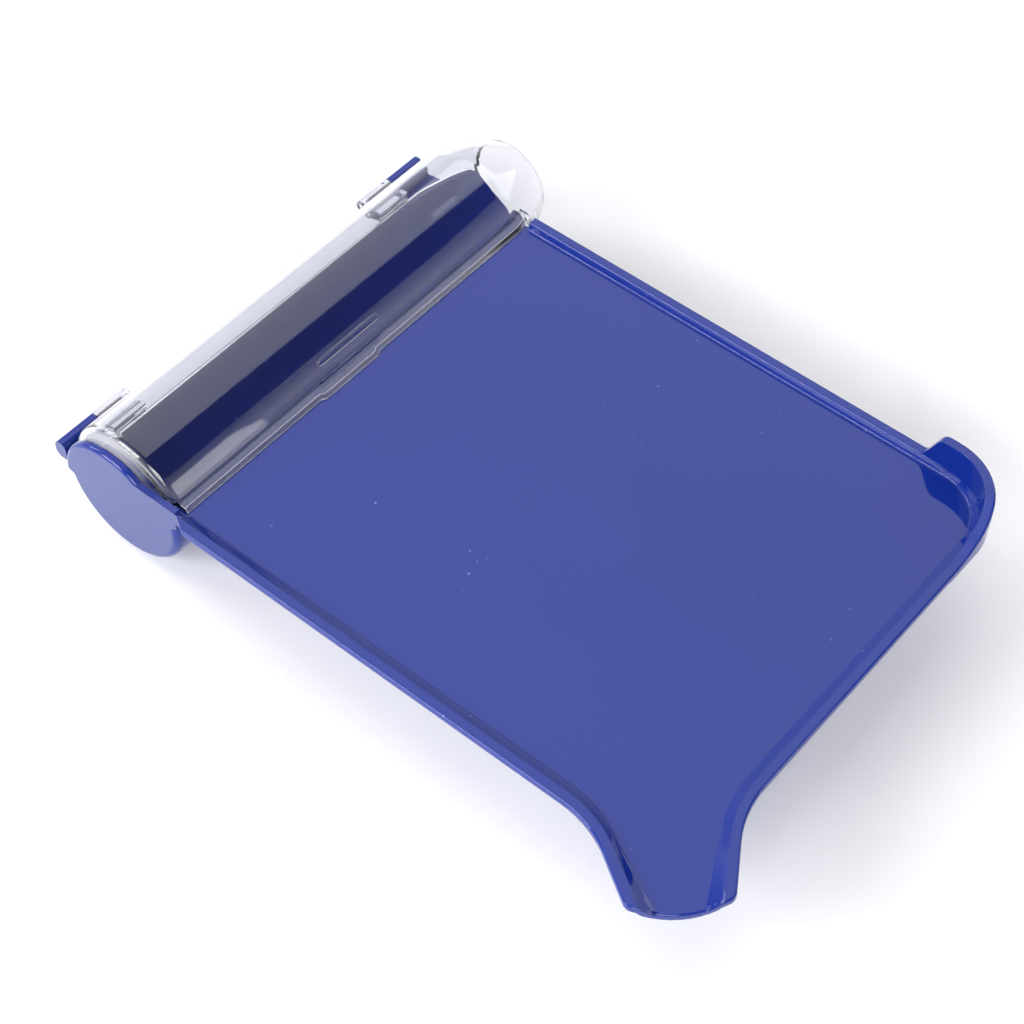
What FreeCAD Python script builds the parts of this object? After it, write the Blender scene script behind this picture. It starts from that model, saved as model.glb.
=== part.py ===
import FreeCAD, Part
import math
import os

import Sketcher

# Tablet counting tray: a one-piece moulded tray with a covered trough, and a clear lid on two hinge pins.
#
# Drawing directions: x runs across the tray, from the hinge side to the far rim. y runs along the trough,
# from its closed end to its pouring mouth. z is up, from the table. Inside the sketches x = 0 is the
# line where the deck meets the lid, y = 0 lies just inside the closed end, and every body is then placed
# so that the origin is under the middle of the whole object.

V = FreeCAD.Vector

# Driving dimensions, millimetres and degrees.
SIZES = {
    # heights
    "deck_top": 28.7,
    "deck_thick": 1.9,
    "rim_height": 2.35,
    "flange_thick": 1.8,
    "rim_width": 2.75,
    "ear_height": 10.9,
    "rim_round": 0.6,
    "foot_round": 0.5,
    "cove_round": 2.5,
    "arch_round": 1.2,
    # plan of the deck: outer edge of the rim
    "near_edge": -7.7,
    "far_edge": 135.6,
    "right_edge": 159.3,
    "corner_round": 19.4,
    # how far the rim's inner face leans in from its top edge to the deck
    "near_lean": 3.2,
    "right_lean": 2.65,
    "far_lean": 0.65,
    # pouring spout on the diagonal of the near right corner
    "spout_half": 12.6,
    "spout_reach": 4.6,
    "spout_bulge": 2.9,
    "spout_corner": 3.0,
    "spout_taper": 13.0,
    "spout_round": 30.0,
    "spout_floor_half": 5.8,
    "spout_floor_taper": 19.0,
    # corner ear
    "ear_start_far": 131.7,
    "ear_full_far": 135.8,
    "ear_start_right": 110.1,
    "ear_full_right": 125.7,
    # trough and its mouth
    "trough_x": -21.4,
    "trough_drop": 7.75,
    "trough_radius": 20.15,
    "trough_wall": 1.7,
    "closed_face": -5.1,
    "closed_wall": 2.0,
    "end_round": 2.4,
    "side_step": 3.4,
    "shoulder_start": 120.5,
    "lid_shoulder": 131.3,
    "mouth_end": 151.2,
    "mouth_radius": 13.2,
    "mouth_slant": 10.0,
    "back_drop": 10.6,
    "arch_rise": 5.9,
    # hinge
    "hinge_x": -46.7,
    "hinge_drop": 9.05,
    "knuckle_radius": 2.0,
    "pin_radius": 0.75,
    "pin_gap": 0.05,
    "pin_length": 19.0,
    "lug_length": 12.7,
    "lug_near": -2.6,
    "lug_far": 127.5,
    "lug_depth": 3.7,
    "knuckle_length": 11.7,
    "side_gap": 0.2,
    # lid
    "lid_wall": 1.4,
    "lid_end_round": 3.0,
    "lid_gap": 0.1,
    "end_gap": 0.15,
    "lid_flange": 1.35,
    "lid_lip": 0.85,
    "lip_start": 49.5,
    "lip_end": 69.8,
    "flange_bevel": 1.0,
    "ridge_radius": 0.95,
    "ridge_start": 53.7,
    "ridge_length": 23.5,
    "ridge_height": 12.65,
    # supports
    "leg_x": 133.0,
    "leg_near": 26.0,
    "leg_far": 102.0,
    "leg_wide": 24.0,
    "leg_thick": 2.2,
    "foot_thick": 1.6,
    "foot_spread": 2.0,
    "skid_near": 17.0,
    "skid_far": 105.0,
    "skid_wide": 15.0,
    "skid_long": 6.0,
}

doc = FreeCAD.newDocument("counting_tray")
sheet = doc.addObject("Spreadsheet::Sheet", "Sizes")
for row, (alias, value) in enumerate(SIZES.items(), 1):
    sheet.set(f"A{row}", alias)
    sheet.set(f"B{row}", str(value))
    sheet.setAlias(f"B{row}", alias)
doc.recompute()


def size(formula):
    """The value of a formula in the sheet's names."""
    return float(sheet.evalExpression(formula))


def linked(formula):
    """The same formula, written for an object outside the sheet."""
    names = sorted(SIZES, key=len, reverse=True)
    parts = formula.split(" ")
    return " ".join("Sizes." + word if word in names else word for word in parts)


# ---------------------------------------------------------------- bodies and sketches

def new_body(label):
    body = doc.addObject("PartDesign::Body", label)
    body.Label = label
    return body


def origin_plane(body, role):
    return next(item for item in body.Origin.OriginFeatures if item.Role == role)


def new_sketch(body, name, role, height="0", shift=None):
    """A sketch on one of the body's own planes, raised by height along the plane's normal."""
    sketch = body.newObject("Sketcher::SketchObject", name)
    sketch.AttachmentSupport = [(origin_plane(body, role), "")]
    sketch.MapMode = "FlatFace"
    sketch.setExpression("AttachmentOffset.Base.z", linked(height))
    if shift is not None:
        sketch.setExpression("AttachmentOffset.Base.x", linked(shift))
    return sketch


def draw(sketch, edges):
    """Puts a closed chain of lines and arcs in the sketch and joins their ends.

    A sketch numbers the ends of an arc anticlockwise, so each edge's own start is looked up first.
    """
    ends = []
    for index, edge in enumerate(edges):
        sketch.addGeometry(edge, False)
        forward = (sketch.getPoint(index, 1) - edge.StartPoint).Length < 1e-6
        ends.append((1, 2) if forward else (2, 1))
    last = len(edges) - 1
    for index in range(len(edges)):
        following = 0 if index == last else index + 1
        sketch.addConstraint(Sketcher.Constraint("Coincident", index, ends[index][1], following,
                                                 ends[following][0]))


def line(start, end):
    return Part.LineSegment(V(*start, 0), V(*end, 0))


def arc(start, middle, end):
    """An arc through three points, kept in the order it was given."""
    return Part.Arc(V(*start, 0), V(*middle, 0), V(*end, 0))


def polygon(points):
    return [line(points[i], points[(i + 1) % len(points)]) for i in range(len(points))]


def tie(sketch, edge, axis, formula):
    """Binds the start of one edge to a distance from the sketch's origin along x or y."""
    kind = "DistanceX" if axis == "x" else "DistanceY"
    start = sketch.Geometry[edge].StartPoint
    end = 1 if (sketch.getPoint(edge, 1) - start).Length < 1e-6 else 2
    index = sketch.addConstraint(Sketcher.Constraint(kind, -1, 1, edge, end, size(formula)))
    sketch.setExpression(f"Constraints[{index}]", linked(formula))


def circle(sketch, x, y, radius):
    """A circle whose centre and radius are all bound to formulas."""
    sketch.addGeometry(Part.Circle(V(size(x), size(y), 0), V(0, 0, 1), size(radius)), False)
    for constraint, formula in ((("Radius", 0), radius), (("DistanceX", -1, 1, 0, 3), x),
                                (("DistanceY", -1, 1, 0, 3), y)):
        index = sketch.addConstraint(Sketcher.Constraint(*constraint, size(formula)))
        sketch.setExpression(f"Constraints[{index}]", linked(formula))


def pad(body, sketch, length, name):
    feature = body.newObject("PartDesign::Pad", name)
    feature.Profile = sketch
    feature.setExpression("Length", linked(length))
    return feature


def cut_through(body, sketch, name):
    """A pocket that runs through everything, both ways from its sketch."""
    feature = body.newObject("PartDesign::Pocket", name)
    feature.Profile = sketch
    feature.Type = "ThroughAll"
    feature.Midplane = True
    return feature


def cut_depth(body, sketch, depth, name, reversed_way):
    feature = body.newObject("PartDesign::Pocket", name)
    feature.Profile = sketch
    feature.setExpression("Length", linked(depth))
    feature.Reversed = reversed_way
    return feature


def turn(body, sketch, kind, name):
    """A full turn of the sketch about its own vertical axis, added or cut."""
    feature = body.newObject(kind, name)
    feature.Profile = sketch
    feature.ReferenceAxis = (sketch, ["V_Axis"])
    feature.Angle = 360
    return feature


def chosen_edges(body, name, wanted):
    """The body so far and those of its edges that wanted picks by their middle point and length."""
    doc.recompute()
    before = body.Tip
    chosen = []
    for number, edge in enumerate(before.Shape.Edges, 1):
        middle = edge.valueAt((edge.FirstParameter + edge.LastParameter) / 2)
        if wanted(middle, edge.Length):
            chosen.append(f"Edge{number}")
    if not chosen:
        raise RuntimeError(f"{name} found no edge")
    return before, chosen


def round_edges(body, name, radius, wanted):
    base = chosen_edges(body, name, wanted)
    feature = body.newObject("PartDesign::Fillet", name)
    feature.Base = base
    feature.setExpression("Radius", linked(radius))


def cut_edges(body, name, width, wanted):
    base = chosen_edges(body, name, wanted)
    feature = body.newObject("PartDesign::Chamfer", name)
    feature.Base = base
    feature.setExpression("Size", linked(width))


def close(a, b):
    return abs(a - b) < 0.05


# ---------------------------------------------------------------- outlines

def polar(degrees, length):
    angle = math.radians(degrees)
    return (length * math.cos(angle), length * math.sin(angle))


def moved(point, step, scale=1.0):
    return (point[0] + step[0] * scale, point[1] + step[1] * scale)


def rounded_bend(corner, way_in, way_out, radius):
    """Start, middle and end of an arc that rounds a corner between two unit directions."""
    cosine = way_in[0] * way_out[0] + way_in[1] * way_out[1]
    half_turn = math.acos(max(-1.0, min(1.0, cosine))) / 2
    reach = radius * math.tan(half_turn)
    start = moved(corner, way_in, -reach)
    end = moved(corner, way_out, reach)
    chord_middle = ((start[0] + end[0]) / 2, (start[1] + end[1]) / 2)
    inward = (corner[0] - chord_middle[0], corner[1] - chord_middle[1])
    gap = math.hypot(*inward)
    sagitta = radius * (1 - math.cos(half_turn))
    middle = moved(chord_middle, (inward[0] / gap, inward[1] / gap), sagitta)
    return start, middle, end


def deck_outline(inset, leans, left, half, taper, extra, bulge, near_left=None):
    """The tray's outline in plan, from the near left corner round the spout and the far right corner.

    inset is how far it lies inside the rim's outer edge, and leans adds the near, right and far insets.
    half and taper give the spout's half width at its mouth and its narrowing, extra runs its sides on.
    """
    near = size("near_edge") + inset + leans[0]
    right = size("right_edge") - inset - leans[1]
    far = size("far_edge") - inset - leans[2]
    radius = size("corner_round") - inset - (leans[1] + leans[2]) / 2
    knee = (size("right_edge"), size("near_edge"))
    outward = polar(-45, 1)
    across = polar(45, 1)
    swing = 45 - taper
    near_side = polar(-swing, 1)
    right_side = polar(swing - 90, 1)
    mouth = moved(knee, outward, size("spout_reach"))
    near_end = moved(mouth, across, -half)
    right_end = moved(mouth, across, half)
    near_bend = moved(near_end, near_side, -(near - near_end[1]) / math.sin(math.radians(swing)))
    right_bend = moved(right_end, right_side, -(right_end[0] - right) / math.sin(math.radians(swing)))
    near_end = moved(near_end, near_side, extra)
    right_end = moved(right_end, right_side, extra)
    bend = size("spout_round") + inset
    near_arc = rounded_bend(near_bend, (1, 0), near_side, bend)
    right_arc = rounded_bend(right_bend, (-right_side[0], -right_side[1]), (0, 1), bend)
    corner_arc = rounded_bend((right, far), (0, 1), (-1, 0), radius)
    first = (left, near) if near_left is None else near_left[-1]
    edges = []
    if near_left is not None:
        for start, end in zip(near_left, near_left[1:]):
            edges.append(line(start, end))
    edges.append(line(first, near_arc[0]))
    edges.append(arc(*near_arc))
    if bulge:
        edges += spout_end(near_arc[2], right_arc[0], near_side, right_side, near_end, right_end, bulge)
    else:
        edges.append(line(near_arc[2], near_end))
        edges.append(line(near_end, right_end))
        edges.append(line(right_end, right_arc[0]))
    edges.append(arc(*right_arc))
    edges.append(line(right_arc[2], corner_arc[0]))
    edges.append(arc(*corner_arc))
    edges.append(line(corner_arc[2], (left, far)))
    edges.append(line((left, far), (left, near) if near_left is None else near_left[0]))
    return edges


def spout_end(start, finish, near_side, right_side, near_end, right_end, bulge):
    """The spout's two sides and its gently bowed end, with a rounded corner on each side."""
    knee = (size("right_edge"), size("near_edge"))
    tip = moved(knee, polar(-45, 1), size("spout_reach") + bulge)
    chord_middle = ((near_end[0] + right_end[0]) / 2, (near_end[1] + right_end[1]) / 2)
    half = math.hypot(right_end[0] - near_end[0], right_end[1] - near_end[1]) / 2
    rise = math.hypot(tip[0] - chord_middle[0], tip[1] - chord_middle[1])
    tilt = math.degrees(2 * math.atan(rise / half))
    near_corner = rounded_bend(near_end, near_side, polar(45 - tilt, 1), size("spout_corner"))
    back = (-right_side[0], -right_side[1])
    right_corner = rounded_bend(right_end, polar(45 + tilt, 1), back, size("spout_corner"))
    return [line(start, near_corner[0]), arc(*near_corner), arc(near_corner[2], tip, right_corner[0]),
            arc(*right_corner), line(right_corner[2], finish)]


def ramp(low, high, low_radius, high_radius):
    """A slope from low to high, rounded into level ground at both ends."""
    run = (high[0] - low[0], high[1] - low[1])
    length = math.hypot(*run)
    slope = (run[0] / length, run[1] / length)
    level = (1 if run[0] > 0 else -1, 0)
    foot = rounded_bend(low, level, slope, low_radius)
    head = rounded_bend(high, slope, level, high_radius)
    return [arc(*foot), line(foot[2], head[0]), arc(*head)]


def closed_over(edges, corners):
    """Closes a path with straight lines through the given corners."""
    start = edges[0].StartPoint
    end = edges[-1].EndPoint
    points = [(end.x, end.y)] + corners + [(start.x, start.y)]
    return edges + [line(a, b) for a, b in zip(points, points[1:])]


# ---------------------------------------------------------------- profiles of the trough and the lid

def barrel_profile(radius, mouth_radius, start, shoulder, end_round):
    """Half section of the barrel shape: closed end at start, a straight run, a shoulder and the mouth.

    Distances are (radius, y). end_round softens the edge of the closed end.
    """
    finish = size("mouth_end")
    middle_y = (shoulder + finish) / 2
    fall = radius - mouth_radius
    middle = (radius - 0.36 * fall, middle_y)
    edges = [line((0, start), (radius - end_round, start))]
    if end_round:
        edges.append(arc(*rounded_bend((radius, start), (1, 0), (0, 1), end_round)))
    edges.append(line((radius, start + end_round), (radius, shoulder)))
    edges.append(arc((radius, shoulder), middle, (mouth_radius, finish)))
    edges.append(line((mouth_radius, finish), (0, finish)))
    edges.append(line((0, finish), (0, start)))
    return edges


AXIS_HEIGHT = "deck_top - trough_drop"
LID_RADIUS = "trough_radius - trough_wall + lid_wall"
RIDGE_X = "trough_x + sqrt( ( " + LID_RADIUS + " ) ^ 2 - ridge_height ^ 2 )"
HINGE_HEIGHT = "deck_top - hinge_drop"
LID_START = "closed_face + closed_wall + end_gap"


# ---------------------------------------------------------------- tray

def trough_barrel(tray):
    """The trough starts as a solid barrel with its closed end, cut off level with the deck and the hinge."""
    outside = new_sketch(tray, "trough_outside", "XY_Plane", AXIS_HEIGHT, "trough_x")
    draw(outside, barrel_profile(size("trough_radius"), size("mouth_radius"), size("closed_face"),
                                 size("shoulder_start"), size("end_round")))
    tie(outside, 0, "y", "closed_face")
    tie(outside, 2, "x", "trough_radius")
    tie(outside, 3, "y", "shoulder_start")
    tie(outside, 4, "x", "mouth_radius")
    tie(outside, 4, "y", "mouth_end")
    turn(tray, outside, "PartDesign::Revolution", "trough_barrel")

    deck = size("deck_top")
    back = deck - size("back_drop")
    middle = size("trough_x")
    above = new_sketch(tray, "open_top_section", "XZ_Plane")
    draw(above, polygon([(middle, back), (middle, deck), (20, deck), (20, 90), (-80, 90), (-80, back)]))
    cut_through(tray, above, "open_top")

    beside = new_sketch(tray, "mouth_side_section", "YZ_Plane", "trough_x")
    start = (size("far_edge") + 0.3, deck)
    end = (start[0] + size("side_step"), back)
    draw(beside, closed_over(ramp(start, end, 1.5, 3.0), [(190, back), (190, 90), (start[0] - 5, 90),
                                                          (start[0] - 5, deck)]))
    cut_depth(tray, beside, "trough_radius + 10", "mouth_side", True)

    finish = size("mouth_end")
    reach = size("trough_radius")
    slant = new_sketch(tray, "mouth_slant_plan", "XY_Plane")
    draw(slant, polygon([(middle, finish), (middle + reach, finish - size("mouth_slant")),
                         (middle + reach, finish + 1), (middle, finish + 1)]))
    cut_through(tray, slant, "mouth_slant")


def deck_and_rims(tray):
    """A thin deck, a flat flange round three sides, and the shallow basin whose sides lean out to it."""
    reach = size("rim_width") - 0.15
    plate = new_sketch(tray, "deck_plan", "XY_Plane", "deck_top - deck_thick")
    draw(plate, deck_outline(reach, (0, 0, 0), -8.0, size("spout_half") - reach, size("spout_taper"), 0,
                             size("spout_bulge") - 0.6))
    pad(tray, plate, "deck_thick + rim_height - flange_thick", "deck_plate")

    flange = new_sketch(tray, "flange_plan", "XY_Plane", "deck_top + rim_height - flange_thick")
    slant = [(-1.0, size("closed_face")), (-0.2, size("closed_face")), (4.2, size("near_edge"))]
    draw(flange, deck_outline(0, (0, 0, 0), -1.0, size("spout_half"), size("spout_taper"), 0,
                              size("spout_bulge"), slant))
    tie(flange, 2, "y", "near_edge")
    tie(flange, 10, "x", "right_edge")
    tie(flange, 12, "y", "far_edge")
    pad(tray, flange, "flange_thick", "flange")

    floor = new_sketch(tray, "basin_floor", "XY_Plane", "deck_top")
    width = size("rim_width")
    leans = (size("near_lean"), size("right_lean"), size("far_lean"))
    draw(floor, deck_outline(width, leans, -12.0, size("spout_floor_half"), size("spout_floor_taper"), 12, 0))
    brim = new_sketch(tray, "basin_brim", "XY_Plane", "deck_top + rim_height")
    draw(brim, deck_outline(width, (0, 0, 0), -12.0, size("spout_half") - width, size("spout_taper"), 12, 0))
    basin = tray.newObject("PartDesign::SubtractiveLoft", "basin")
    basin.Profile = floor
    basin.Sections = [brim]
    basin.Ruled = True


def corner_ear(tray):
    """The tall rounded wall at the far right corner, ramped down into the rim at both ends."""
    right = size("right_edge")
    far = size("far_edge")
    width = size("rim_width")
    round_out = size("corner_round")
    start = size("ear_start_far") - 4
    stop = size("ear_start_right") - 6
    outer = rounded_bend((right, far), (1, 0), (0, -1), round_out)
    inner = rounded_bend((right - width, far - width), (0, 1), (-1, 0), round_out - width)
    ear = new_sketch(tray, "ear_plan", "XY_Plane", "deck_top")
    draw(ear, [line((start, far), outer[0]), arc(*outer), line(outer[2], (right, stop)),
               line((right, stop), (right - width, stop)), line((right - width, stop), inner[0]), arc(*inner),
               line(inner[2], (start, far - width)), line((start, far - width), (start, far))])
    tie(ear, 0, "y", "far_edge")
    tie(ear, 2, "x", "right_edge")
    pad(tray, ear, "ear_height", "ear_wall")

    rim = size("deck_top + rim_height")
    top = size("deck_top + ear_height")
    far_end = new_sketch(tray, "ear_far_slope", "XZ_Plane")
    slope = ramp((size("ear_start_far"), rim), (size("ear_full_far"), top), 2.0, 3.0)
    draw(far_end, closed_over(slope, [(size("ear_full_far") + 3, top + 5), (start - 3, top + 5),
                                      (start - 3, rim)]))
    cut_through(tray, far_end, "ear_far_end")
    right_end = new_sketch(tray, "ear_right_slope", "YZ_Plane")
    slope = ramp((size("ear_start_right"), rim), (size("ear_full_right"), top), 11.0, 9.5)
    draw(right_end, closed_over(slope, [(size("ear_full_right") + 4, top + 5), (stop - 3, top + 5),
                                        (stop - 3, rim)]))
    cut_through(tray, right_end, "ear_right_end")


def soften_rims(tray):
    """Rounds the tops of the straight rims, the foot of each wall and the lip of the spout."""
    deck = size("deck_top")
    rim = size("deck_top + rim_height")
    near = size("near_edge")
    far = size("far_edge")
    width = size("rim_width")
    right = size("right_edge")

    def rim_top(middle, length):
        along = (close(middle.y, near), close(middle.y, near + width), close(middle.y, far),
                 close(middle.y, far - width))
        return close(middle.z, rim) and any(along) and length > 50

    def steep_foot(middle, length):
        return close(middle.z, deck) and close(middle.y, far - width - size("far_lean")) and length > 100

    def sloping_foot(middle, length):
        return close(middle.z, deck) and close(middle.y, near + width + size("near_lean")) and length > 100

    def spout_lip(middle, length):
        return close(middle.z, deck) and middle.x > right and middle.y < near and length < 12

    round_edges(tray, "rim_tops", "rim_round", rim_top)
    round_edges(tray, "steep_foot", "foot_round", steep_foot)
    round_edges(tray, "sloping_foot", "cove_round", sloping_foot)
    round_edges(tray, "spout_lip", "rim_round", spout_lip)


def closed_end(tray):
    """The end wall of the trough rises above the deck in a low arch, then runs level into the near rim."""
    deck = size("deck_top")
    back = deck - size("back_drop")
    middle = size("trough_x")
    axis = size(AXIS_HEIGHT)
    radius = size("trough_radius") + 0.9
    crown = (middle - 2.4, deck + size("arch_rise"))
    rim = deck + size("rim_height")
    shoulder = (middle + 6.8, rim)
    left_low = (middle - math.sqrt(radius ** 2 - (back - axis) ** 2), back)
    left_mid = (middle - 14.7, deck + 2.4)
    near_crown = (middle + 2.4, deck + size("arch_rise") - 0.7)
    wall = new_sketch(tray, "end_wall_section", "XZ_Plane", "-1 * closed_face - closed_wall")
    draw(wall, [arc(left_low, left_mid, crown), arc(crown, near_crown, shoulder), line(shoulder, (-1.0, rim)),
                line((-1.0, rim), (-1.0, deck - 4)), line((-1.0, deck - 4), (middle, back - 6)),
                line((middle, back - 6), left_low)])
    pad(tray, wall, "closed_wall", "end_wall")
    round_edges(tray, "arch_edge", "arch_round",
                lambda at, length: close(at.y, size("closed_face")) and at.z > deck + 1 and at.x < -12)


def trough_hollow(tray):
    """Hollows the barrel, and clears the deck's edge and both rims where the lid's flange lies."""
    wall = size("trough_wall")
    inside = new_sketch(tray, "trough_inside", "XY_Plane", AXIS_HEIGHT, "trough_x")
    draw(inside, hollow_profile(size("trough_radius") - wall, size("mouth_radius") - wall,
                                size("closed_face + closed_wall"), size("shoulder_start")))
    tie(inside, 0, "y", "closed_face + closed_wall")
    tie(inside, 1, "x", "trough_radius - trough_wall")
    tie(inside, 3, "x", "mouth_radius - trough_wall")
    turn(tray, inside, "PartDesign::Groove", "trough_hollow")
    for name, low, high in (("near_seat", size("closed_face + closed_wall"), 4.0),
                            ("far_seat", 128.0, 143.0)):
        seat = new_sketch(tray, name + "_plan", "XY_Plane", "deck_top")
        draw(seat, polygon([(-12, low), (size("lid_lip") + 0.4, low), (size("lid_lip") + 0.4, high),
                            (-12, high)]))
        cut_depth(tray, seat, "rim_height + 6", name, True)


def hollow_profile(radius, mouth_radius, start, shoulder, end_round=0):
    """The inside of the barrel, run straight on past the mouth so that it opens cleanly."""
    edges = barrel_profile(radius, mouth_radius, start, shoulder, end_round)
    finish = size("mouth_end")
    edges[-2:] = [line((mouth_radius, finish), (mouth_radius, finish + 5)),
                  line((mouth_radius, finish + 5), (0, finish + 5)), line((0, finish + 5), (0, start))]
    return edges


def hinge_lug(tray, name, start, joint, towards_far):
    """A knuckle on a bracket from the trough's back wall, bored from its inner face for a pressed-in pin."""
    x, z = size("hinge_x"), size(HINGE_HEIGHT)
    radius = size("knuckle_radius")
    floor = z - size("lug_depth")
    shelf = size("deck_top - back_drop") - 0.1
    wall_x = size("trough_x") - size("trough_radius") + 6.5
    bevel = 1.4
    section = new_sketch(tray, name + "_section", "XZ_Plane", f"-1 * {start}")
    draw(section, [arc((x - radius, z), (x, z + radius), (x + radius, z)),
                   line((x + radius, z), (x + radius, shelf)),
                   line((x + radius, shelf), (wall_x, shelf)),
                   line((wall_x, shelf), (wall_x, floor)),
                   line((wall_x, floor), (x - radius + bevel, floor)),
                   line((x - radius + bevel, floor), (x - radius, floor + bevel)),
                   line((x - radius, floor + bevel), (x - radius, z))])
    lug = pad(tray, section, "lug_length", name)
    lug.Reversed = True
    bore = new_sketch(tray, name + "_bore_section", "XZ_Plane", f"-1 * ( {joint} )")
    circle(bore, "hinge_x", HINGE_HEIGHT, "pin_radius")
    cut_depth(tray, bore, "pin_length / 2 + side_gap", name + "_bore", not towards_far)


def supports(tray):
    """Two legs under the far side of the deck and two flat skids under the trough carry it level."""
    for name, y in (("leg_near", "leg_near"), ("leg_far", "leg_far")):
        low, wide, thick = size(y), size("leg_wide"), size("leg_thick")
        x = size("leg_x")
        leg = new_sketch(tray, name + "_plan", "XY_Plane")
        draw(leg, polygon([(x, low), (x + thick, low), (x + thick, low + wide), (x, low + wide)]))
        tie(leg, 0, "x", "leg_x")
        tie(leg, 0, "y", y)
        tie(leg, 2, "x", "leg_x + leg_thick")
        tie(leg, 2, "y", y + " + leg_wide")
        pad(tray, leg, "deck_top - deck_thick / 2", name)
        foot = new_sketch(tray, name + "_foot_plan", "XY_Plane")
        side, end = size("foot_spread"), size("foot_spread / 2")
        draw(foot, polygon([(x - side, low - end), (x + thick + side, low - end),
                            (x + thick + side, low + wide + end), (x - side, low + wide + end)]))
        pad(tray, foot, "foot_thick", name + "_foot")
    for name, y in (("skid_near", "skid_near"), ("skid_far", "skid_far")):
        x = size("trough_x")
        half, long = size("skid_wide / 2"), size("skid_long")
        low = size(y)
        skid = new_sketch(tray, name + "_plan", "XY_Plane")
        draw(skid, polygon([(x - half, low), (x + half, low), (x + half, low + long),
                            (x - half, low + long)]))
        tie(skid, 0, "x", "trough_x - skid_wide / 2")
        tie(skid, 0, "y", y)
        tie(skid, 2, "x", "trough_x + skid_wide / 2")
        tie(skid, 2, "y", y + " + skid_long")
        pad(tray, skid, "deck_top - trough_drop - trough_radius + 1.5", name)


def make_tray():
    tray = new_body("tray")
    trough_barrel(tray)
    deck_and_rims(tray)
    corner_ear(tray)
    soften_rims(tray)
    closed_end(tray)
    hinge_lug(tray, "near_lug", "lug_near", "lug_near + lug_length", False)
    hinge_lug(tray, "far_lug", "lug_far", "lug_far", True)
    trough_hollow(tray)
    supports(tray)
    return tray


# ---------------------------------------------------------------- lid

def lid_shell(lid):
    """The clear cover: the upper part of a barrel that matches the trough, open at its mouth."""
    play = size("lid_gap")
    radius = size(LID_RADIUS)
    mouth = size("mouth_radius - lid_gap")
    start = size(LID_START)
    outside = new_sketch(lid, "lid_outside", "XY_Plane", AXIS_HEIGHT, "trough_x")
    draw(outside, barrel_profile(radius, mouth, start, size("lid_shoulder"), size("lid_end_round")))
    tie(outside, 0, "y", LID_START)
    tie(outside, 2, "x", LID_RADIUS)
    tie(outside, 3, "y", "lid_shoulder")
    tie(outside, 4, "x", "mouth_radius - lid_gap")
    tie(outside, 4, "y", "mouth_end")
    turn(lid, outside, "PartDesign::Revolution", "lid_barrel")

    back = size("deck_top - back_drop") + play
    seat = size("deck_top") + play / 2
    below = new_sketch(lid, "below_edge_section", "XZ_Plane")
    draw(below, polygon([(-80, -20), (20, -20), (20, back), (-80, back)]))
    cut_through(lid, below, "below_edge")
    front = new_sketch(lid, "front_edge_section", "YZ_Plane", "trough_x")
    first = (size("far_edge") + 0.3 + 2.5 * play, seat)
    last = (first[0] + size("side_step"), back)
    draw(front, closed_over(ramp(first, last, 1.5, 3.0), [(190, back), (190, back - 9), (start - 9, back - 9),
                                                          (start - 9, seat)]))
    cut_depth(lid, front, "trough_radius + 10", "front_edge", True)


def lid_flange(lid):
    """The flat front edge that rests on the deck, with a finger lip and a slim grip ridge above it."""
    edge = size("side_gap")
    lip = edge + size("lid_lip")
    inner = size("trough_x") + size("trough_radius") - 5.0
    shoulder = size("lid_shoulder")
    finish = size("far_edge") + 0.6
    plan = new_sketch(lid, "flange_plan", "XY_Plane", "deck_top + lid_gap / 2")
    draw(plan, polygon([(inner, -1.5), (edge, -1.5), (edge, size("lip_start") - 1.1),
                        (lip, size("lip_start")), (lip, size("lip_end")), (edge, size("lip_end") + 1.1),
                        (edge, shoulder - 1.4), (-1.3, finish), (inner, finish)]))
    pad(lid, plan, "lid_flange", "lid_flange")
    top = size("deck_top + lid_gap / 2 + lid_flange")
    cut_edges(lid, "flange_bevel", "flange_bevel", lambda at, length: close(at.z, top) and at.x > -2)
    ridge = new_sketch(lid, "ridge_profile", "XY_Plane", AXIS_HEIGHT + " + ridge_height", RIDGE_X)
    radius = size("ridge_radius")
    start = size("ridge_start")
    finish = size("ridge_start + ridge_length")
    slope = radius * math.sqrt(0.5)
    draw(ridge, [arc((0, start), (slope, start + radius - slope), (radius, start + radius)),
                 line((radius, start + radius), (radius, finish - radius)),
                 arc((radius, finish - radius), (slope, finish - radius + slope), (0, finish)),
                 line((0, finish), (0, start))])
    tie(ridge, 1, "x", "ridge_radius")
    turn(lid, ridge, "PartDesign::Revolution", "grip_ridge")


def lid_hollow(lid):
    wall = size("lid_wall")
    radius = size("trough_radius - trough_wall")
    mouth = size("mouth_radius - lid_gap") - wall
    start = size(LID_START) + wall
    inside = new_sketch(lid, "lid_inside", "XY_Plane", AXIS_HEIGHT, "trough_x")
    draw(inside, hollow_profile(radius, mouth, start, size("lid_shoulder"), size("lid_end_round") - wall))
    tie(inside, 0, "y", LID_START + " + lid_wall")
    tie(inside, 2, "x", "trough_radius - trough_wall")
    tie(inside, 4, "x", "mouth_radius - lid_gap - lid_wall")
    turn(lid, inside, "PartDesign::Groove", "lid_hollow")


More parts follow.
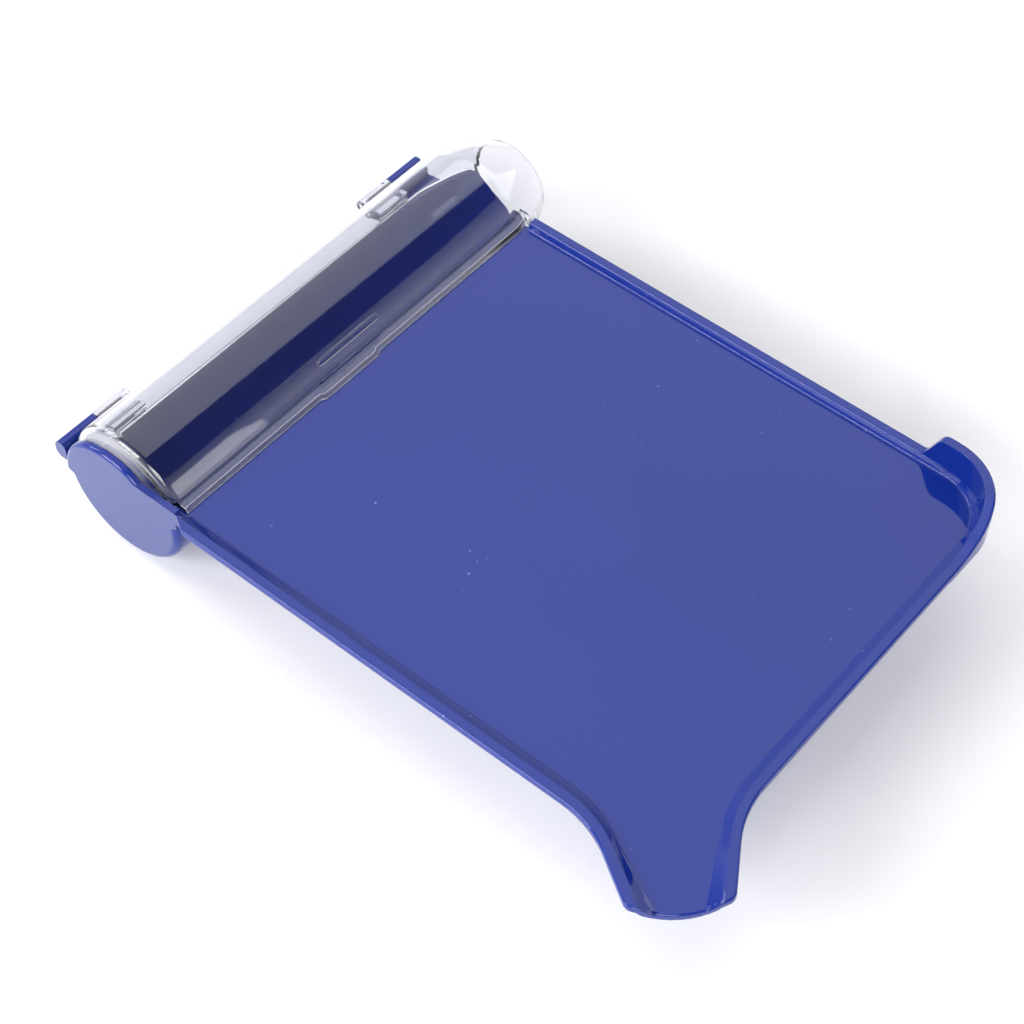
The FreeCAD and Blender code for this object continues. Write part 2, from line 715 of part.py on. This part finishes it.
def lid_knuckle(lid, name, start):
    """A knuckle joined to the lid's back edge by a short web, bored to run freely on its pin."""
    x, z = size("hinge_x"), size(HINGE_HEIGHT)
    radius = size("knuckle_radius")
    floor = size("deck_top - back_drop + lid_gap")
    wall_x = size("trough_x") - size("trough_radius") + 1.4
    drop = floor - z
    side = math.sqrt(radius ** 2 - drop ** 2)
    section = new_sketch(lid, name + "_section", "XZ_Plane", f"-1 * ( {start} )")
    draw(section, [line((x, z + radius), (wall_x, z + radius)),
                   line((wall_x, z + radius), (wall_x, floor)),
                   line((wall_x, floor), (x + side, floor)),
                   arc((x + side, floor), (x - radius, z), (x, z + radius))])
    knuckle = pad(lid, section, "knuckle_length", name)
    knuckle.Reversed = True


def make_lid():
    lid = new_body("lid")
    lid_shell(lid)
    lid_flange(lid)
    lid_knuckle(lid, "near_knuckle", "lug_near + lug_length + side_gap")
    lid_knuckle(lid, "far_knuckle", "lug_far - side_gap - knuckle_length")
    lid_hollow(lid)
    bore = new_sketch(lid, "hinge_bore_section", "XZ_Plane")
    circle(bore, "hinge_x", HINGE_HEIGHT, "pin_radius + pin_gap")
    cut_through(lid, bore, "hinge_bore")
    return lid


# ---------------------------------------------------------------- pins

def make_pin(label, joint):
    """A plain steel pin, half pressed into the tray's lug and half in the lid's knuckle."""
    body = new_body(label)
    section = new_sketch(body, label + "_section", "XZ_Plane", f"-1 * ( {joint} ) + pin_length / 2")
    circle(section, "hinge_x", HINGE_HEIGHT, "pin_radius")
    shaft = pad(body, section, "pin_length", label + "_shaft")
    shaft.Reversed = True
    doc.recompute()
    rounding = body.newObject("PartDesign::Chamfer", label + "_ends")
    rounding.Base = (shaft, ["Edge1", "Edge2", "Edge3"])
    rounding.Size = 0.25
    return body


# ---------------------------------------------------------------- the whole object

pieces = [make_tray(), make_lid(), make_pin("hinge_pin_near", "lug_near + lug_length + side_gap / 2"),
          make_pin("hinge_pin_far", "lug_far - side_gap / 2")]
doc.recompute()

for item in doc.Objects:
    if any(flag in item.State for flag in ("Invalid", "Error")):
        raise RuntimeError(f"{item.Label} failed: {item.State}")

whole = Part.makeCompound([piece.Shape for piece in pieces]).optimalBoundingBox()
for piece in pieces:
    piece.Placement = FreeCAD.Placement(V(-whole.Center.x, -whole.Center.y, 0), FreeCAD.Rotation())
doc.recompute()

os.makedirs("parts", exist_ok=True)
for piece in pieces:
    if piece.Shape.isNull() or not piece.Shape.isValid() or len(piece.Shape.Solids) != 1:
        raise RuntimeError(f"{piece.Label} is not one valid solid")
    piece.Shape.exportStep(f"parts/{piece.Label}.step")
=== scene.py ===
import math

import bpy
from mathutils import Matrix, Vector


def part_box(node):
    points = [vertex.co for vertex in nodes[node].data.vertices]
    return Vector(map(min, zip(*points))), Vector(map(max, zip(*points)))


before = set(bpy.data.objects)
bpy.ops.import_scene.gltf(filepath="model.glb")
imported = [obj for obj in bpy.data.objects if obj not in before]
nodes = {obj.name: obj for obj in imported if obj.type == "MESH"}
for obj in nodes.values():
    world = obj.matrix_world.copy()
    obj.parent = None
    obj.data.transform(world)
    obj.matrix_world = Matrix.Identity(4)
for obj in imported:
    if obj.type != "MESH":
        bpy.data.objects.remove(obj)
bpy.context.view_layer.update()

# Tablet counting tray in a white studio. The shapes are the CAD's own: this script gives them
# materials and shading, and adds the floor, the lights and the camera. Lengths are in metres.

lid_low, lid_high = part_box("lid")

# Edges rounded in shading only, finer than the CAD's own rounds.
BLUE_EDGE_RADIUS = 0.0003
CLEAR_EDGE_RADIUS = 0.00025
RIPPLE_DEPTH = 0.002
SHARP_ANGLE = math.radians(32)
WELD_DISTANCE = 2e-6

# Painted reflection: the trough's round end face, which faces -Y and lies left of the lid's edge,
# is painted paler.
REFLECTION_FACING_STARTS, REFLECTION_FACING_FULL = -0.90, -0.99
PAINTED_REFLECTION_COLOUR = (0.050, 0.068, 0.225, 1)

# The lid is slightly milky in a thin zone at its closed end, fading towards the deck.
MILK_STARTS = lid_low.y + 0.0020
MILK_FULL = lid_low.y + 0.0008
MILK_FADES = lid_high.x - 0.0098
MILK_DEEPEST = lid_high.x - 0.0258
MILK_AMOUNT = 0.30

# Painted highlight: the edges of the lid's flange are painted white. The dot product of the
# rounded normal and the true one falls below 1 near an edge.
FLANGE_STARTS = lid_high.x - 0.0033
PAINTED_HIGHLIGHT_STARTS, PAINTED_HIGHLIGHT_FULL = 0.996, 0.975
PAINTED_HIGHLIGHT_AMOUNT = 0.95
CLEAR_TINT = (0.868, 0.874, 0.915, 1)
WHITE = (1.0, 1.0, 1.0, 1)

FLOOR_HALF = 3.0
FLOOR_GLOW = 0.08

# The photograph's viewing angle and lens, found from the tray's straight edges, and the point
# near the tray's middle that the camera looks at.
LENS, SENSOR = 82.7, 36.0
AZIMUTH, ELEVATION, ROLL = math.radians(-51.2585), math.radians(51.3586), math.radians(1.1140)
AIM = Vector((-0.00348, -0.00882, 0.0200))
DISTANCE = 0.60507
NEAREST_SEEN = 0.01


# ---------------------------------------------------------------- node helpers

def new_material(name):
    """An empty material with a Principled shader, and the object's own coordinates."""
    material = bpy.data.materials.new(name)
    material.use_nodes = True
    tree = material.node_tree
    tree.nodes.clear()
    shader = add(tree, "ShaderNodeBsdfPrincipled")
    link(tree, shader, "BSDF", add(tree, "ShaderNodeOutputMaterial"), "Surface")
    return material, tree, shader, add(tree, "ShaderNodeTexCoord")


def add(tree, kind, **values):
    """A new node; each value goes to the input of that name, or else to the property."""
    node = tree.nodes.new(kind)
    for key, value in values.items():
        if key in node.inputs.keys():
            node.inputs[key].default_value = value
        else:
            setattr(node, key, value)
    return node


def link(tree, a, a_out, b, b_in):
    tree.links.new(a.outputs[a_out], b.inputs[b_in])


def feed(tree, source, node, socket):
    """Gives an input a plain value, or the output of another node as (node, output name)."""
    if isinstance(source, tuple) and isinstance(source[0], bpy.types.Node):
        link(tree, source[0], source[1], node, socket)
    else:
        node.inputs[socket].default_value = source


def noise(tree, where, scale, detail):
    texture = add(tree, "ShaderNodeTexNoise", Scale=scale, Detail=detail)
    link(tree, where, "Object", texture, "Vector")
    return texture, "Fac"


def remap(tree, source, start, end, low=0.0, high=1.0, kind="LINEAR"):
    """Turns start..end of the source into low..high."""
    node = add(tree, "ShaderNodeMapRange", interpolation_type=kind)
    node.inputs["From Min"].default_value = start
    node.inputs["From Max"].default_value = end
    node.inputs["To Min"].default_value = low
    node.inputs["To Max"].default_value = high
    feed(tree, source, node, "Value")
    return node, "Result"


def calculate(tree, operation, first, second):
    node = add(tree, "ShaderNodeMath", operation=operation)
    feed(tree, first, node, 0)
    feed(tree, second, node, 1)
    return node, "Value"


def mix_colours(tree, amount, first, second):
    node = add(tree, "ShaderNodeMix", data_type="RGBA")
    factor, colour_a, colour_b, result = 0, 6, 7, 2
    feed(tree, amount, node, factor)
    feed(tree, first, node, colour_a)
    feed(tree, second, node, colour_b)
    return node, result


def tones(tree, source, dark, light, start=0.0, end=1.0):
    ramp = add(tree, "ShaderNodeValToRGB")
    for stop, place, colour in zip(ramp.color_ramp.elements, (start, end), (dark, light)):
        stop.position = place
        stop.color = colour
    feed(tree, source, ramp, "Fac")
    return ramp, "Color"


def split(tree, where, output):
    node = add(tree, "ShaderNodeSeparateXYZ")
    link(tree, where, output, node, "Vector")
    return node


def rippled_surface(tree, shader, height, strength, edge_radius):
    """A faint bump whose normal is rounded over sharp edges. Returns the rounded normal."""
    bevel = add(tree, "ShaderNodeBevel", samples=4, Radius=edge_radius)
    bump = add(tree, "ShaderNodeBump", Strength=strength, Distance=RIPPLE_DEPTH)
    link(tree, bevel, "Normal", bump, "Normal")
    feed(tree, height, bump, "Height")
    link(tree, bump, "Normal", shader, "Normal")
    return bevel


# ---------------------------------------------------------------- materials

def blue_plastic():
    """Glossy blue plastic with slow colour drift, faint ripple, dust and a painted reflection on
    the end face.
    """
    material, tree, shader, where = new_material("blue_plastic_looks")
    shader.inputs["IOR"].default_value = 1.5
    drift = noise(tree, where, 9.0, 3.0)
    body = tones(tree, drift, (0.0055, 0.022, 0.212, 1), (0.007, 0.025, 0.236, 1), 0.3, 0.7)

    grains = add(tree, "ShaderNodeTexVoronoi", Scale=260.0)
    link(tree, where, "Object", grains, "Vector")
    specks = remap(tree, (grains, "Distance"), 0.05, 0.11, 1.0, 0.0)
    patches = remap(tree, noise(tree, where, 55.0, 2.0), 0.60, 0.68)
    dust = calculate(tree, "MULTIPLY", calculate(tree, "MULTIPLY", specks, patches), 0.35)
    dusty = mix_colours(tree, dust, body, (0.42, 0.46, 0.72, 1))

    facing = split(tree, where, "Normal")
    facing_floor = remap(tree, (facing, "Y"), REFLECTION_FACING_STARTS, REFLECTION_FACING_FULL)
    place = split(tree, where, "Object")
    left = calculate(tree, "LESS_THAN", (place, "X"), lid_high.x)
    painted_reflection_mask = calculate(tree, "MULTIPLY", facing_floor, left)
    # Painted reflection: the end face is painted paler in place of the bright floor it reflects.
    colour = mix_colours(tree, painted_reflection_mask, dusty, PAINTED_REFLECTION_COLOUR)
    feed(tree, colour, shader, "Base Color")

    haze = remap(tree, noise(tree, where, 38.0, 4.0), 0.0, 1.0, 0.03, 0.07)
    feed(tree, haze, shader, "Roughness")
    rippled_surface(tree, shader, noise(tree, where, 24.0, 2.0), 0.02, BLUE_EDGE_RADIUS)
    return material


def clear_plastic():
    """Clear cool plastic with flow ripple, rub marks, a milky closed end and painted highlights on
    the flange edges.
    """
    material, tree, shader, where = new_material("clear_plastic_looks")
    shader.inputs["IOR"].default_value = 1.49
    rub = remap(tree, noise(tree, where, 60.0, 5.0), 0.0, 1.0, 0.0, 0.06)
    feed(tree, rub, shader, "Roughness")
    flow = noise(tree, where, 16.0, 1.5)
    bevel = rippled_surface(tree, shader, flow, 0.05, CLEAR_EDGE_RADIUS)

    place = split(tree, where, "Object")
    along = remap(tree, (place, "Y"), MILK_STARTS, MILK_FULL, kind="SMOOTHSTEP")
    across = remap(tree, (place, "X"), MILK_FADES, MILK_DEEPEST, high=MILK_AMOUNT,
                   kind="SMOOTHSTEP")
    milk = calculate(tree, "MULTIPLY", along, across)

    straight = add(tree, "ShaderNodeVectorMath", operation="DOT_PRODUCT")
    link(tree, bevel, "Normal", straight, 0)
    link(tree, add(tree, "ShaderNodeNewGeometry"), "Normal", straight, 1)
    edge = remap(tree, (straight, "Value"), PAINTED_HIGHLIGHT_STARTS, PAINTED_HIGHLIGHT_FULL, high=PAINTED_HIGHLIGHT_AMOUNT)
    flange = calculate(tree, "GREATER_THAN", (place, "X"), FLANGE_STARTS)
    painted_highlight = calculate(tree, "MULTIPLY", edge, flange)

    # Painted highlight: near the flange edges the colour goes to white and the lid turns less
    # clear.
    feed(tree, mix_colours(tree, painted_highlight, CLEAR_TINT, WHITE), shader, "Base Color")
    milk_and_painted_highlight = calculate(tree, "MAXIMUM", painted_highlight, milk)
    clarity = calculate(tree, "SUBTRACT", 1.0, milk_and_painted_highlight)
    feed(tree, clarity, shader, "Transmission Weight")
    return material


def pin_steel():
    """Drawn steel wire with fine lines along its length."""
    material, tree, shader, where = new_material("pin_steel_looks")
    shader.inputs["Metallic"].default_value = 1.0
    stretch = add(tree, "ShaderNodeMapping", Scale=(900, 40, 900))
    link(tree, where, "Object", stretch, "Vector")
    lines = add(tree, "ShaderNodeTexNoise", Scale=1.0, Detail=3.0)
    link(tree, stretch, "Vector", lines, "Vector")
    colour = tones(tree, (lines, "Fac"), (0.42, 0.42, 0.43, 1), (0.68, 0.68, 0.69, 1))
    feed(tree, colour, shader, "Base Color")
    feed(tree, remap(tree, (lines, "Fac"), 0.0, 1.0, 0.22, 0.42), shader, "Roughness")
    return material


def floor_paper():
    """Matt pale paper with a faint grain and a weak glow, so that it stays white."""
    material, tree, shader, where = new_material("floor_looks")
    shader.inputs["Roughness"].default_value = 0.8
    grain = noise(tree, where, 30.0, 4.0)
    colour = tones(tree, grain, (0.86, 0.86, 0.865, 1), (0.90, 0.90, 0.905, 1))
    feed(tree, colour, shader, "Base Color")
    shader.inputs["Emission Color"].default_value = WHITE
    shader.inputs["Emission Strength"].default_value = FLOOR_GLOW
    return material


# ---------------------------------------------------------------- shading

def smooth_shading():
    """A modifier tree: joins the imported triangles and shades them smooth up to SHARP_ANGLE."""
    tree = bpy.data.node_groups.new("smooth_shading", "GeometryNodeTree")
    for direction in ("INPUT", "OUTPUT"):
        tree.interface.new_socket("Geometry", in_out=direction,
                                  socket_type="NodeSocketGeometry")
    start = add(tree, "NodeGroupInput")
    weld = add(tree, "GeometryNodeMergeByDistance", Distance=WELD_DISTANCE)
    faces = add(tree, "GeometryNodeSetShadeSmooth")
    edges = add(tree, "GeometryNodeSetShadeSmooth", domain="EDGE")
    edges.inputs["Shade Smooth"].default_value = False
    angle = add(tree, "GeometryNodeInputMeshEdgeAngle")
    sharp = add(tree, "FunctionNodeCompare", data_type="FLOAT", operation="GREATER_THAN")
    sharp.inputs["B"].default_value = SHARP_ANGLE
    link(tree, angle, "Unsigned Angle", sharp, "A")
    link(tree, sharp, "Result", edges, "Selection")
    link(tree, start, 0, weld, "Geometry")
    link(tree, weld, 0, faces, "Geometry")
    link(tree, faces, 0, edges, "Geometry")
    link(tree, edges, 0, add(tree, "NodeGroupOutput"), 0)
    return tree


def dress(name, material, smoothing):
    """Gives a piece its material, smooth curves and flat faces that stay flat."""
    piece = nodes[name]
    piece.data.materials.clear()
    piece.data.materials.append(material)
    piece.modifiers.new("smooth_shading", "NODES").node_group = smoothing
    weighted = piece.modifiers.new("flat_faces_stay_flat", "WEIGHTED_NORMAL")
    weighted.mode = "FACE_AREA"
    weighted.weight = 100
    weighted.keep_sharp = True


# ---------------------------------------------------------------- stage

def build_floor():
    corners = [(x * FLOOR_HALF, y * FLOOR_HALF, 0) for x, y in ((-1, -1), (1, -1), (1, 1), (-1, 1))]
    mesh = bpy.data.meshes.new("floor")
    mesh.from_pydata(corners, [], [(0, 1, 2, 3)])
    mesh.materials.append(floor_paper())
    floor = bpy.data.objects.new("floor", mesh)
    bpy.context.scene.collection.objects.link(floor)


def softbox(name, place, target, width, height, brightness):
    """A rectangular light whose face has the given brightness, where 1 is paper white."""
    data = bpy.data.lights.new(name, "AREA")
    data.shape = "RECTANGLE"
    data.size = width
    data.size_y = height
    data.energy = brightness * math.pi * width * height
    light = bpy.data.objects.new(name, data)
    light.location = place
    aim = Vector(target) - Vector(place)
    light.rotation_euler = aim.to_track_quat("-Z", "Y").to_euler()
    light.visible_camera = False
    bpy.context.scene.collection.objects.link(light)


def build_world():
    """A dim room, lighter at the horizon than overhead, for the clear lid to reflect."""
    world = bpy.data.worlds.new("studio")
    bpy.context.scene.world = world
    world.use_nodes = True
    tree = world.node_tree
    back = tree.nodes["Background"]
    direction = split(tree, add(tree, "ShaderNodeTexCoord"), "Generated")
    height = remap(tree, (direction, "Z"), 0.18, 0.50)
    colour = tones(tree, height, (0.90, 0.90, 0.92, 1), (0.10, 0.10, 0.13, 1))
    feed(tree, colour, back, "Color")
    back.inputs["Strength"].default_value = 1.0


def build_camera():
    back = Vector((math.cos(ELEVATION) * math.cos(AZIMUTH),
                   math.cos(ELEVATION) * math.sin(AZIMUTH), math.sin(ELEVATION)))
    level = Vector((0, 0, 1)).cross(back).normalized()
    right = Matrix.Rotation(ROLL, 3, back) @ level
    up = back.cross(right)
    turn = Matrix((right, up, back)).transposed().to_4x4()
    data = bpy.data.cameras.new("photo_camera")
    data.lens = LENS
    data.sensor_width = SENSOR
    data.clip_start = NEAREST_SEEN
    camera = bpy.data.objects.new("photo_camera", data)
    camera.matrix_world = Matrix.Translation(AIM + back * DISTANCE) @ turn
    bpy.context.scene.collection.objects.link(camera)
    bpy.context.scene.camera = camera


smoothing = smooth_shading()
steel = pin_steel()
dress("tray", blue_plastic(), smoothing)
dress("lid", clear_plastic(), smoothing)
dress("hinge_pin_near", steel, smoothing)
dress("hinge_pin_far", steel, smoothing)

build_floor()
# An even sheen on the deck.
softbox("soft_top", place=(-0.59, 0.65, 1.0), target=(-0.59, 0.65, 0),
        width=1.43, height=1.9, brightness=1.4)
# The light on the sides and rims, strongest from the front and left, weakest from behind.
softbox("soft_front", place=(0.75, -1.15, 0.95), target=(0, 0, 0),
        width=0.9, height=0.7, brightness=8.0)
softbox("soft_left", place=(-0.55, -1.10, 0.70), target=(-0.1, -0.1, 0),
        width=0.7, height=0.5, brightness=12.0)
softbox("soft_side", place=(-1.35, -0.35, 0.80), target=(0, 0, 0),
        width=0.7, height=0.6, brightness=5.0)
softbox("soft_behind", place=(0.50, 1.45, 0.70), target=(0.1, 0, 0),
        width=0.9, height=0.6, brightness=1.5)
# A small card low over the deck, reflected in the side of the lid.
softbox("low_card", place=(0.56, 0.20, 0.17), target=(-0.065, -0.03, 0.03),
        width=0.14, height=0.26, brightness=2.4)
build_world()
build_camera()
bpy.context.scene.view_settings.view_transform = "Standard"
